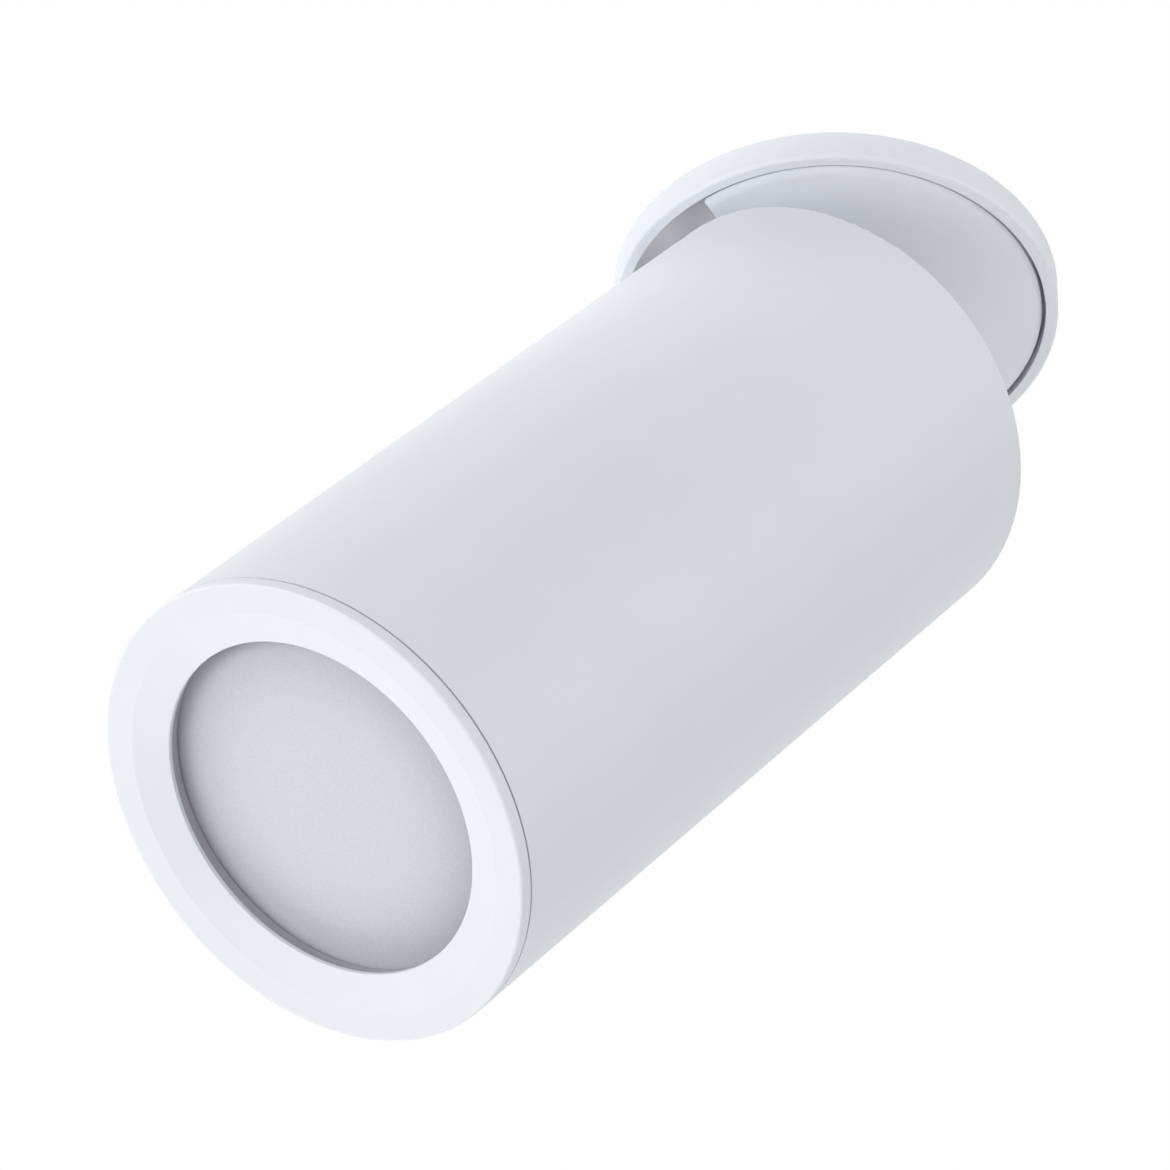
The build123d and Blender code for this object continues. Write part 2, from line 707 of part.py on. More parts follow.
def make_earth_tag():
    """The ring tag for the earth wire under the rear cap."""
    low = cap_low - EARTH_T
    tag = rod(EARTH_R, low, cap_low, EARTH_X)
    half = EARTH_TAB_WIDTH / 2
    tag += block((EARTH_X, EARTH_X + EARTH_TAB), (-half, half), (low, cap_low))
    return tag - rod(M3_R + HOLE_FIT, low, cap_low, EARTH_X)


def make_earth_screw():
    """The screw of the earth tag, its head below the tag."""
    return Pos(EARTH_X, 0, 0) * pan_screw(cap_low - EARTH_T, EARTH_T + EARTH_THREAD, up=-1)


def make_hinge_screw():
    """The screw on which the head tilts."""
    start = ARM_T / 2 + WASHER_T + LUG_T
    end = -start - HINGE_NUT_T - HINGE_TAIL
    screw = cross_rod(HINGE_SCREW_R, hinge_x, hinge_z, end, start)
    screw += cross_rod(HINGE_HEAD_R, hinge_x, hinge_z, start, start + HINGE_HEAD_T)
    socket = Pos(hinge_x, start + HINGE_HEAD_T - SOCKET_DEPTH, hinge_z) * Rot(-90, 0, 0)
    return screw - socket * extrude(RegularPolygon(SOCKET_R, 6), SOCKET_DEPTH)


def make_hinge_nut():
    """The nut that sets the tilt friction."""
    high = -(ARM_T / 2 + WASHER_T + LUG_T)
    place = Pos(hinge_x, high - HINGE_NUT_T, hinge_z) * Rot(-90, 0, 0)
    nut = place * extrude(RegularPolygon(HINGE_NUT_ACROSS / math.sqrt(3), 6), HINGE_NUT_T)
    return nut - cross_rod(HINGE_SCREW_R + HOLE_FIT, hinge_x, hinge_z, high - HINGE_NUT_T, high)


def make_tilt_washers():
    """The friction washer on each side of the arm's eye."""
    washers = []
    for low in (-ARM_T / 2 - WASHER_T, ARM_T / 2):
        washer = cross_rod(WASHER_R, hinge_x, hinge_z, low, low + WASHER_T)
        bore = cross_rod(HINGE_SCREW_R + HOLE_FIT, hinge_x, hinge_z, low, low + WASHER_T)
        washers.append(washer - bore)
    return washers


def make_strap():
    """The U-shaped strap that carries the lampholder under the rear cap."""
    half = STRAP_WIDTH / 2
    x_span = (-half, half)
    strap = block(x_span, (-STRAP_Y, STRAP_Y), (holder_top, holder_top + STRAP_T))
    for side in (-1, 1):
        leg_y = sorted((side * (STRAP_Y - STRAP_T), side * STRAP_Y))
        strap += block(x_span, leg_y, (holder_top, cap_low))
        foot_y = sorted((side * (STRAP_Y - STRAP_FOOT), side * STRAP_Y))
        strap += block(x_span, foot_y, (cap_low - STRAP_T, cap_low))
        strap -= rod(M3_R + HOLE_FIT, cap_low - STRAP_T, cap_low, 0, side * STRAP_SCREW_Y)
    for x in (-HOLDER_SCREW_X, HOLDER_SCREW_X):
        strap += rod(half, holder_top, holder_top + STRAP_T, x)
        strap -= rod(M3_R + HOLE_FIT, holder_top, holder_top + STRAP_T, x)
    return strap - rod(STRAP_HOLE_R, holder_top, holder_top + STRAP_T)


def make_lampholder():
    """The ceramic twist-lock lampholder, with a keyhole slot for each contact pin."""
    body = rod(HOLDER_R, holder_low, holder_top)
    body &= block((-HOLDER_R, HOLDER_R), (-HOLDER_FLAT, HOLDER_FLAT), (holder_low, holder_top))
    throat = holder_low + HOLDER_FACE_T
    deep = throat + PIN_HEAD_L + PIN_NECK_L - HOLDER_FACE_T + PIN_CLEAR
    for turn in (0.0, 180.0):
        body -= Rot(0, 0, turn) * arc_slot(PIN_NECK_R + PIN_CLEAR, holder_low, throat)
        body -= Rot(0, 0, turn) * arc_slot(PIN_HEAD_R + PIN_CLEAR, throat, deep)
        entry = rod(PIN_HEAD_R + PIN_CLEAR, holder_low, throat, PIN_ORBIT)
        body -= Rot(0, 0, turn - TWIST) * entry
    for x in (-HOLDER_SCREW_X, HOLDER_SCREW_X):
        body -= rod(M3_R + HOLE_FIT, holder_top - HOLDER_THREAD, holder_top, x)
    return body


def arc_slot(radius, low, high):
    """A slot swept by a contact pin while the lamp twists to its unlocked place."""
    band = sleeve(PIN_ORBIT + radius, PIN_ORBIT - radius, low, high)
    reach = 2 * (PIN_ORBIT + radius)
    far = (reach * math.cos(math.radians(TWIST)), -reach * math.sin(math.radians(TWIST)))
    wedge = Pos(0, 0, low) * extrude(make_face(Polyline((0, 0), (reach, 0), far, close=True)), high - low)
    slot = band & wedge
    slot += rod(radius, low, high, PIN_ORBIT)
    return slot + Rot(0, 0, -TWIST) * rod(radius, low, high, PIN_ORBIT)


def make_holder_screws():
    """The two screws that hold the lampholder on its strap."""
    length = STRAP_T + HOLDER_THREAD - SCREW_SPARE
    xs = (-HOLDER_SCREW_X, HOLDER_SCREW_X)
    return [Pos(x, 0, 0) * pan_screw(holder_top + STRAP_T, length) for x in xs]


def make_lamp_housing():
    """The lamp's flared shell, open at the front for the lens."""
    shoulder = lens_front + LAMP_RIM
    neck_low = lamp_top - LAMP_NECK_L
    seat = lens_front + LENS_T
    profile = [
        (lens_r, lens_front),
        (lamp_r, lens_front),
        (lamp_r, shoulder),
        (LAMP_NECK_R, neck_low),
        (LAMP_NECK_R, lamp_top - BASE_L),
        (neck_bore, lamp_top - BASE_L),
        (neck_bore, neck_low),
        (lamp_bore, shoulder),
        (lamp_bore, seat),
        (lens_r, seat),
    ]
    shell = turned(profile)
    return fillet(rims(shell, lamp_r, lens_front), TUBE_EDGE)


def make_lamp_base():
    """The insulating base that carries the two contact pins."""
    base = rod(LAMP_NECK_R, lamp_top - BASE_L, lamp_top)
    base = fillet(rims(base, LAMP_NECK_R, lamp_top), LAMP_BASE_EDGE)
    base += rod(neck_bore - HOLE_FIT, lamp_top - LAMP_NECK_L, lamp_top - BASE_L)
    for x in (-PIN_ORBIT, PIN_ORBIT):
        base -= rod(PIN_NECK_R, lamp_top - PIN_NECK_L, lamp_top, x)
    return base


def make_lamp_pins():
    """The two stepped contact pins."""
    pins = []
    for x in (-PIN_ORBIT, PIN_ORBIT):
        pin = rod(PIN_NECK_R, lamp_top - PIN_NECK_L, lamp_top + PIN_NECK_L, x)
        head = rod(PIN_HEAD_R, lamp_top + PIN_NECK_L, lamp_top + PIN_NECK_L + PIN_HEAD_L)
        head = fillet(rims(head, PIN_HEAD_R, lamp_top + PIN_NECK_L + PIN_HEAD_L), PIN_EDGE)
        pins.append(pin + Pos(x, 0, 0) * head)
    return pins


def make_lamp_lens():
    """The frosted lens, a little proud at its middle."""
    radius = (lens_r**2 + LENS_DOME**2) / (2 * LENS_DOME)
    disc = rod(lens_r - HOLE_FIT, lens_front - LENS_DOME, lens_front + LENS_T)
    return disc & (Pos(0, 0, lens_front - LENS_DOME + radius) * Sphere(radius))


def make_led_board():
    """The round board with its light-emitting chips."""
    low = lens_front + BOARD_BACK
    board = rod(lamp_bore - BOARD_FIT, low, low + BOARD_T)
    chip = block((-CHIP_SIZE / 2, CHIP_SIZE / 2), (-CHIP_SIZE / 2, CHIP_SIZE / 2), (low - CHIP_T, low))
    board += chip
    for i in range(CHIPS - 1):
        board += Rot(0, 0, 360.0 / (CHIPS - 1) * i) * Pos(CHIP_ORBIT, 0, 0) * chip
    return board


def make_front_bezel():
    """The front ring: outer band, funnel and lip, stepped behind to carry its skirt."""
    step_r = skirt_bore - SKIRT_FIT
    profile = [
        (opening_r, lip_front),
        (band_r, bezel_front + BAND_FALL),
        (TUBE_R - BEZEL_EDGE, bezel_front),
        (TUBE_R, bezel_front),
        (TUBE_R, band_back),
        (step_r, band_back),
        (step_r, lip_back),
        (opening_r, lip_back),
    ]
    bezel = turned(profile)
    return fillet(rims(bezel, TUBE_R, bezel_front), BEZEL_EDGE)


def make_bezel_skirt():
    """The sleeve behind the front ring that plugs into the tube, grooved for the O-ring."""
    low = tube_end + O_RING_BACK - O_RING_WIRE / 2
    groove = sleeve(skirt_r, o_ring_centre() - O_RING_WIRE / 2, low, low + O_RING_WIRE)
    return sleeve(skirt_r, skirt_bore, band_back, skirt_top) - groove


def o_ring_centre():
    """The radius of the O-ring's centre line."""
    return tube_bore - O_RING_GAP - O_RING_WIRE / 2


def make_bezel_o_ring():
    """The O-ring that holds the bezel in the tube by friction."""
    return Pos(0, 0, tube_end + O_RING_BACK) * Torus(o_ring_centre(), O_RING_WIRE / 2)


def make_bezel_gasket():
    """The soft ring between the bezel's lip and the lamp's rim."""
    inner = opening_r + GASKET_LIP
    return sleeve(inner + GASKET_WIDTH, inner, lip_back, lip_back + GASKET_T)


def build():
    """Every node by name, in the stored pose."""
    fixed = {
        "trim_ring": make_trim_ring(),
        "ring_stop_pin": make_ring_stop_pin(),
        "recess_housing": make_recess_housing(),
        "housing_screws": make_housing_screws(),
        "terminal_block": make_terminal_block(),
        "terminal_screws": make_terminal_screws(),
        "terminal_fixing_screw": make_terminal_fixing_screw(),
        "inlet_grommet": make_inlet_grommet(),
        "turntable_plate": make_turntable_plate(),
        "turntable_stop_pin": make_turntable_stop_pin(),
        "bearing_washer": make_bearing_washer(),
        "friction_washer": make_friction_washer(),
        "stem_nut": make_stem_nut(),
        "cable_bush": make_cable_bush(),
        "hinge_arm": make_hinge_arm(),
        "arm_screws": make_arm_screws(),
    }
    clip = {
        "clip_pin": make_clip_pin(),
        "clip_arm": make_clip_arm(),
        "clip_pad": make_clip_pad(),
        "clip_spring": make_clip_spring(),
    }
    for letter, angle in CLIP_ANGLES.items():
        for name, shape in clip.items():
            fixed[f"{name}_{letter}"] = Rot(0, 0, angle) * shape
    head = {
        "tube": make_tube(),
        "rear_cap": make_rear_cap(),
        "cap_screws": make_cap_screws(),
        "cable_grommet": make_cable_grommet(),
        "earth_tag": make_earth_tag(),
        "earth_screw": make_earth_screw(),
        "hinge_screw": make_hinge_screw(),
        "hinge_nut": make_hinge_nut(),
        "tilt_washers": make_tilt_washers(),
        "holder_strap": make_strap(),
        "strap_screws": make_strap_screws(),
        "lampholder": make_lampholder(),
        "holder_screws": make_holder_screws(),
        "lamp_housing": make_lamp_housing(),
        "lamp_base": make_lamp_base(),
        "lamp_pins": make_lamp_pins(),
        "lamp_lens": make_lamp_lens(),
        "led_board": make_led_board(),
        "front_bezel": make_front_bezel(),
        "bezel_skirt": make_bezel_skirt(),
        "bezel_o_ring": make_bezel_o_ring(),
        "bezel_gasket": make_bezel_gasket(),
    }
    nodes = {name: gathered(shape) for name, shape in fixed.items()}
    nodes.update({name: to_rest * gathered(shape) for name, shape in head.items()})
    return nodes


def gathered(shape):
    """One shape, or several copies as one group of solids."""
    if not isinstance(shape, list):
        return shape
    return Compound([solid for piece in shape for solid in piece.solids()])


os.makedirs("parts", exist_ok=True)
for node, shape in build().items():
    export_step(shape, f"parts/{node}.step")
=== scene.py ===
import logging
import math
from dataclasses import dataclass
from enum import Enum
from functools import lru_cache
from typing import Sequence

import bmesh
import bpy
from mathutils import Matrix, Vector


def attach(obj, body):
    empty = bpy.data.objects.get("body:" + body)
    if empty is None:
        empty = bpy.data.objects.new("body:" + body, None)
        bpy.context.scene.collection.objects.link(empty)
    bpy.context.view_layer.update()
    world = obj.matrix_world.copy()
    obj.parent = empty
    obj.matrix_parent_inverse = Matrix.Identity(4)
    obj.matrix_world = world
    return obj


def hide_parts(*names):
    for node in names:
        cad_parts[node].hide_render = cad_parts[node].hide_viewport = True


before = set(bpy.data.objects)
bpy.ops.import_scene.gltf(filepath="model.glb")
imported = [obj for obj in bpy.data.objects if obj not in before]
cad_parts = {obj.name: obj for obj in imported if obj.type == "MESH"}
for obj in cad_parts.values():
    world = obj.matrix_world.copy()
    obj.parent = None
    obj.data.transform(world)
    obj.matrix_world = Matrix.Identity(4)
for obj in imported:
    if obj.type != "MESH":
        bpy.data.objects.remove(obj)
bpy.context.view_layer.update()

log = logging.getLogger("spotlight")

MM = 0.001
AXIS_REACH = 1e-6
Colour = tuple[float, float, float]
Socket = bpy.types.NodeSocket
Outline = list[tuple[float, float]]

PURE_WHITE: Colour = (1.0, 1.0, 1.0)
STEEL: Colour = (0.56, 0.57, 0.58)
SPRING_STEEL: Colour = (0.36, 0.36, 0.38)
BRASS: Colour = (0.74, 0.56, 0.26)


class Way(Enum):
    """The directions that turned, drawn or stacked pieces follow, in the stored pose."""

    UPRIGHT = (0.0, 0.0, 1.0)
    ACROSS = (0.0, 1.0, 0.0)
    HEAD = (0.584958, 0.0, -0.811064)


class Stitch:
    """The node tree of one finish, with short calls for the nodes that the finishes share."""

    def __init__(self, name: str) -> None:
        """Start a material with its principled shader.

        Args:
            name: The material's name.
        """
        self.material = bpy.data.materials.new(name)
        self.material.use_nodes = True
        self.tree = self.material.node_tree
        self.shader = self.tree.nodes["Principled BSDF"]
        self.surface = self.tree.nodes["Material Output"].inputs["Surface"]
        self.place = self.tree.nodes.new("ShaderNodeTexCoord").outputs["Object"]

    def node(self, kind: str, **settings: object) -> bpy.types.Node:
        """Add a node and set its own options.

        Args:
            kind: The node's type without its ShaderNode prefix.
            settings: Attributes of the node, such as operation.

        Returns:
            The new node.
        """
        made = self.tree.nodes.new("ShaderNode" + kind)
        for key, value in settings.items():
            setattr(made, key, value)
        return made

    def feed(self, target: Socket, source: Socket | float | Colour) -> None:
        """Join a socket to another, or give it a plain value.

        Args:
            target: The input that is fed.
            source: An output socket, or a number or colour.
        """
        if isinstance(source, Socket):
            self.tree.links.new(source, target)
        else:
            target.default_value = (*source, 1.0) if isinstance(source, tuple) else source

    def maths(self, operation: str, first: Socket | float, second: Socket | float = 0.0) -> Socket:
        """Work out one sum on two values.

        Args:
            operation: Blender's name of the sum.
            first: The first value.
            second: The second value, where the sum has one.

        Returns:
            The result.
        """
        made = self.node("Math", operation=operation)
        self.feed(made.inputs[0], first)
        self.feed(made.inputs[1], second)
        return made.outputs[0]

    def noise(self, scale: float, detail: float = 2.0, where: Socket | None = None) -> Socket:
        """Make soft noise.

        Args:
            scale: Waves per metre.
            detail: How many finer layers are added.
            where: The coordinates, or the piece's own when left out.

        Returns:
            The noise as a value about 0.5.
        """
        made = self.node("TexNoise")
        made.inputs["Scale"].default_value = scale
        made.inputs["Detail"].default_value = detail
        self.feed(made.inputs["Vector"], where or self.place)
        return made.outputs["Fac"]

    def cells(self, scale: float, output: str = "Color") -> Socket:
        """Make Voronoi cells, such as crystals or speckles.

        Args:
            scale: Cells per metre.
            output: Color for one shade a cell, Distance for a dot in each.

        Returns:
            That output of the cells.
        """
        made = self.node("TexVoronoi")
        made.inputs["Scale"].default_value = scale
        self.feed(made.inputs["Vector"], self.place)
        return made.outputs[output]

    def spread(
        self, value: Socket, low: float, high: float, start: float = 0.0, end: float = 1.0
    ) -> Socket:
        """Fit a value to a new range.

        Args:
            value: The value to fit.
            low: The result at the start.
            high: The result at the end.
            start: The value that gives low.
            end: The value that gives high.

        Returns:
            The fitted value.
        """
        made = self.node("MapRange")
        for socket, number in zip(made.inputs[1:5], (start, end, low, high)):
            socket.default_value = number
        self.feed(made.inputs[0], value)
        return made.outputs[0]

    def ramp(self, value: Socket, stops: Sequence[tuple[float, Colour]]) -> Socket:
        """Turn a value into a colour.

        Args:
            value: The value, from 0 to 1.
            stops: Places along it, each with its colour.

        Returns:
            The colour.
        """
        made = self.node("ValToRGB")
        points = made.color_ramp.elements
        while len(points) < len(stops):
            points.new(0.5)
        for point, (place, colour) in zip(points, stops):
            point.position = place
            point.color = (*colour, 1.0)
        self.feed(made.inputs[0], value)
        return made.outputs[0]

    def times(self, first: Socket | Colour, second: Socket | Colour) -> Socket:
        """Multiply two colours or places, channel by channel.

        Args:
            first: The first one.
            second: The second one.

        Returns:
            The product.
        """
        made = self.node("VectorMath", operation="MULTIPLY")
        for socket, source in zip(made.inputs, (first, second)):
            if isinstance(source, Socket):
                self.tree.links.new(source, socket)
            else:
                socket.default_value = source
        return made.outputs[0]

    def along(self, way: Way) -> Socket:
        """Give each point's distance along a direction.

        Args:
            way: The direction.

        Returns:
            The distance from the origin, in metres.
        """
        made = self.node("VectorMath", operation="DOT_PRODUCT")
        made.inputs[1].default_value = way.value
        self.feed(made.inputs[0], self.place)
        return made.outputs["Value"]

    def rings(self, way: Way, pitch: float) -> Socket:
        """Make waves along a direction, as a cutting tool leaves them.

        Args:
            way: The direction that they follow.
            pitch: One wave's length in millimetres.

        Returns:
            A value from 0 to 1.
        """
        turns = self.maths("MULTIPLY", self.along(way), 2.0 * math.pi / (pitch * MM))
        return self.spread(self.maths("SINE", turns), 0.0, 1.0, -1.0, 1.0)

    def bump(self, height: Socket, depth: float, before: Socket | None = None) -> Socket:
        """Raise the surface by a pattern.

        Args:
            height: The pattern, from 0 to 1.
            depth: Its height in millimetres.
            before: An earlier bump that this one adds to.

        Returns:
            The surface direction for the shader.
        """
        made = self.node("Bump")
        made.inputs["Distance"].default_value = depth * MM
        self.feed(made.inputs["Height"], height)
        if before:
            self.feed(made.inputs["Normal"], before)
        return made.outputs["Normal"]

    def finish(self, **inputs: Socket | float | Colour) -> bpy.types.Material:
        """Feed the shader's named sockets and give the material.

        Args:
            inputs: The shader's sockets in lower case, with _ for a space.

        Returns:
            The finished material.
        """
        names = {socket.name.lower().replace(" ", "_"): socket for socket in self.shader.inputs}
        for name, value in inputs.items():
            self.feed(names[name], value)
        return self.material


def shaded(colour: Colour, factor: float) -> Colour:
    """A colour made darker or lighter by a factor."""
    return tuple(min(1.0, channel * factor) for channel in colour)


@dataclass(frozen=True)
class PowderCoat:
    """Matte baked powder: a faint orange peel with a finer grain on it."""

    name: str = "white_powder_coat"
    colour: Colour = (0.777, 0.809, 0.853)
    roughness: float = 0.52
    peel: float = 0.0035
    grain: float = 0.0012
    dimmest: float = 0.985
    gloss_range: float = 0.04
    cloud_scale: float = 70.0
    peel_scale: float = 900.0
    gloss_scale: float = 2400.0
    grain_scale: float = 5200.0

    def tone(self, knit: Stitch) -> Socket:
        """Give the paint's colour, which is a touch uneven.

        Args:
            knit: The material's node tree.

        Returns:
            The colour.
        """
        stops = ((0.3, shaded(self.colour, self.dimmest)), (0.7, self.colour))
        return knit.ramp(knit.noise(self.cloud_scale, 3.0), stops)

    def material(self) -> bpy.types.Material:
        """Make the material.

        Returns:
            The material with all its nodes.
        """
        knit = Stitch(self.name)
        peel = knit.bump(knit.noise(self.peel_scale, 1.0), self.peel)
        gloss = knit.noise(self.gloss_scale)
        smooth, rough = self.roughness - self.gloss_range, self.roughness + self.gloss_range
        return knit.finish(
            base_color=self.tone(knit),
            roughness=knit.spread(gloss, smooth, rough),
            specular_ior_level=0.35,
            normal=knit.bump(knit.noise(self.grain_scale, 2.0), self.grain, peel),
        )


@dataclass(frozen=True)
class PlateCoat(PowderCoat):
    """The same powder on the turning plate, tinted warmer and darkened by painted shade on the floor of
    its notch, in the hollow.
    """

    name: str = "white_powder_coat_plate"
    hollow_tint_and_shade: Colour = (0.94, 0.90, 0.86)
    floor_z: float = -0.0025

    def tone(self, knit: Stitch) -> Socket:
        """Give the paint's colour, tinted warmer and darkened by painted shade above the height of the
        notch's floor.

        Args:
            knit: The material's node tree.

        Returns:
            The colour.
        """
        # Painted shade: above the notch's floor, in the hollow, the colour is tinted warmer and
        # darkened.
        deep = knit.maths("GREATER_THAN", knit.along(Way.UPRIGHT), self.floor_z)
        tint_and_shade = knit.ramp(deep, ((0.0, PURE_WHITE), (1.0, self.hollow_tint_and_shade)))
        return knit.times(super().tone(knit), tint_and_shade)


@dataclass(frozen=True)
class GalvanisedSheet:
    """Zinc-coated sheet steel with crystals of differing shade."""

    name: str = "zinc_steel"
    colour: Colour = (0.60, 0.62, 0.64)
    crystal: float = 3.5
    scratch_scale: float = 1500.0
    scratch: float = 0.004

    def material(self) -> bpy.types.Material:
        """Make the material.

        Returns:
            The material with all its nodes.
        """
        knit = Stitch(self.name)
        shade = knit.cells(1000.0 / self.crystal)
        scratches = knit.noise(self.scratch_scale, 4.0)
        stops = (
            (0.1, shaded(self.colour, 0.82)),
            (0.6, self.colour),
            (0.95, shaded(self.colour, 1.18)),
        )
        return knit.finish(
            base_color=knit.ramp(shade, stops),
            metallic=1.0,
            roughness=knit.spread(shade, 0.30, 0.46),
            normal=knit.bump(scratches, self.scratch),
        )


@dataclass(frozen=True)
class TurnedMetal:
    """Metal with a cutting tool's fine rings and slight stains."""

    name: str
    colour: Colour
    way: Way
    roughness: float = 0.30
    pitch: float = 0.14
    depth: float = 0.003
    stain: float = 0.86
    stain_scale: float = 420.0
    gloss_scale: float = 900.0
    grain_scale: float = 3800.0
    grain: float = 0.001

    def material(self) -> bpy.types.Material:
        """Make the material.

        Returns:
            The material with all its nodes.
        """
        knit = Stitch(self.name)
        stops = ((0.35, shaded(self.colour, self.stain)), (0.65, self.colour))
        rings = knit.bump(knit.rings(self.way, self.pitch), self.depth)
        gloss = knit.noise(self.gloss_scale)
        return knit.finish(
            base_color=knit.ramp(knit.noise(self.stain_scale, 4.0), stops),
            metallic=1.0,
            roughness=knit.spread(gloss, self.roughness - 0.06, self.roughness + 0.08),
            normal=knit.bump(knit.noise(self.grain_scale), self.grain, rings),
        )


@dataclass(frozen=True)
class MouldedPlastic:
    """Moulded plastic with a spark-eroded skin and faint flow marks."""

    name: str
    colour: Colour
    roughness: float = 0.42
    skin: float = 0.006
    glow: float = 0.05
    glow_depth: float = 0.002
    flow_scale: float = 110.0
    gloss_scale: float = 700.0
    skin_scale: float = 3600.0

    def material(self) -> bpy.types.Material:
        """Make the material.

        Returns:
            The material with all its nodes.
        """
        knit = Stitch(self.name)
        stops = ((0.3, shaded(self.colour, 0.95)), (0.7, self.colour))
        gloss = knit.noise(self.gloss_scale)
        return knit.finish(
            base_color=knit.ramp(knit.noise(self.flow_scale, 3.0), stops),
            roughness=knit.spread(gloss, self.roughness - 0.05, self.roughness + 0.07),
            subsurface_weight=self.glow,
            subsurface_scale=self.glow_depth,
            normal=knit.bump(knit.noise(self.skin_scale, 3.0), self.skin),
        )


@dataclass(frozen=True)
class Rubber:
    """Soft rubber with a dusty bloom over its mould texture."""

    name: str
    colour: Colour
    bloom: float = 1.9
    texture: float = 0.010
    bloom_scale: float = 260.0
    gloss_scale: float = 800.0
    texture_scale: float = 3000.0

    def material(self) -> bpy.types.Material:
        """Make the material.

        Returns:
            The material with all its nodes.
        """
        knit = Stitch(self.name)
        stops = ((0.4, self.colour), (0.8, shaded(self.colour, self.bloom)))
        return knit.finish(
            base_color=knit.ramp(knit.noise(self.bloom_scale, 5.0), stops),
            roughness=knit.spread(knit.noise(self.gloss_scale), 0.62, 0.80),
            sheen_weight=0.12,
            normal=knit.bump(knit.noise(self.texture_scale, 3.0), self.texture),
        )


@dataclass(frozen=True)
class GlazedCeramic:
    """Pressed steatite under a thin clear glaze, with a few dark specks."""

    name: str = "ceramic"
    colour: Colour = (0.80, 0.77, 0.70)
    ripple: float = 0.008
    speck_scale: float = 900.0
    gloss_scale: float = 500.0
    ripple_scale: float = 1800.0

    def material(self) -> bpy.types.Material:
        """Make the material.

        Returns:
            The material with all its nodes.
        """
        knit = Stitch(self.name)
        dots = knit.cells(self.speck_scale, "Distance")
        specks = knit.spread(dots, 0.0, 1.0, start=0.06, end=0.16)
        return knit.finish(
            base_color=knit.ramp(specks, ((0.0, shaded(self.colour, 0.55)), (1.0, self.colour))),
            roughness=knit.spread(knit.noise(self.gloss_scale, 3.0), 0.34, 0.50),
            coat_weight=0.6,
            coat_roughness=0.12,
            normal=knit.bump(knit.noise(self.ripple_scale, 3.0), self.ripple),
        )


@dataclass(frozen=True)
class FrostedLens:
    """Milky lens, finely speckled, with painted shade darkening it towards its rim, that shows a blur
    of what is behind.
    """

    name: str = "frosted_lens"
    colour: Colour = (0.76, 0.78, 0.84)
    clearness: float = 0.20
    speckle: float = 3200.0
    contrast: float = 0.03
    frost_scale: float = 2600.0
    frost: float = 0.006
    wave_scale: float = 260.0
    wave: float = 0.012
    radius: float = 0.02275
    # Painted shade: factors on the lens colour from its middle out to its rim.
    painted_rim_shade: tuple[tuple[float, float], ...] = (
        (0.40, 1.0),
        (0.58, 0.97),
        (0.70, 0.91),
        (0.84, 0.81),
        (1.0, 0.72),
    )

    def material(self) -> bpy.types.Material:
        """Make the material.

        Returns:
            The material with all its nodes.
        """
        knit = Stitch(self.name)
        speckle = knit.noise(self.speckle, 2.0)
        dark = shaded(self.colour, 1.0 - self.contrast)
        light = shaded(self.colour, 1.0 + self.contrast)
        speckled = knit.ramp(speckle, ((0.36, dark), (0.64, light)))
        waves = knit.bump(knit.noise(self.wave_scale, 2.0), self.wave)
        return knit.finish(
            base_color=knit.times(speckled, self.shade(knit)),
            roughness=knit.spread(knit.noise(self.frost_scale), 0.36, 0.48),
            ior=1.45,
            transmission_weight=self.clearness,
            normal=knit.bump(speckle, self.frost, waves),
        )

    def shade(self, knit: Stitch) -> Socket:
        """Paint shade on the lens, darkening it from its bright middle to its rim.

        Args:
            knit: The material's node tree.

        Returns:
            The painted shade, as a factor on the colour.
        """
        # Painted shade: the colour darkens with distance from the lens's axis.
        reach = knit.node("VectorMath", operation="LENGTH")
        knit.feed(reach.inputs[0], knit.times(knit.place, (1.0, 1.0, 0.0)))
        part = knit.spread(reach.outputs["Value"], 0.0, 1.0, start=0.0, end=self.radius)
        return knit.ramp(part, tuple((place, (factor,) * 3) for place, factor in self.painted_rim_shade))


@dataclass(frozen=True)
class CircuitBoard:
    """White lacquered board whose raised chips show their yellow phosphor."""

    name: str = "circuit_board"
    lacquer: Colour = (0.80, 0.80, 0.78)
    phosphor: Colour = (0.80, 0.56, 0.10)
    face_at: float = 0.12598
    weave_scale: float = 1400.0
    weave: float = 0.006

    def material(self) -> bpy.types.Material:
        """Make the material.

        Returns:
            The material with all its nodes.
        """
        knit = Stitch(self.name)
        raised = knit.maths("GREATER_THAN", knit.along(Way.HEAD), self.face_at)
        glass = knit.noise(self.weave_scale, 3.0)
        return knit.finish(
            base_color=knit.ramp(raised, ((0.0, self.lacquer), (1.0, self.phosphor))),
            roughness=knit.spread(glass, 0.36, 0.52),
            normal=knit.bump(glass, self.weave),
        )


WHITE = PowderCoat()
PLATE = PlateCoat()
SHEET = GalvanisedSheet()
SCREW_UP = TurnedMetal("screw_steel_upright", STEEL, Way.UPRIGHT)
SCREW_HEAD = TurnedMetal("screw_steel_head", STEEL, Way.HEAD)
SCREW_ACROSS = TurnedMetal("screw_steel_across", STEEL, Way.ACROSS)
SPRING = TurnedMetal(
    "spring_steel", SPRING_STEEL, Way.ACROSS, roughness=0.34, pitch=0.05, depth=0.002, stain=0.78
)
BRASS_UP = TurnedMetal("brass_upright", BRASS, Way.UPRIGHT, roughness=0.26)
BRASS_HEAD = TurnedMetal("brass_head", BRASS, Way.HEAD, roughness=0.26)
SHELL = TurnedMetal(
    "lamp_shell", (0.76, 0.77, 0.79), Way.HEAD, roughness=0.36, pitch=0.45, depth=0.006, stain=0.94
)
NYLON = MouldedPlastic("white_plastic", (0.80, 0.80, 0.77))
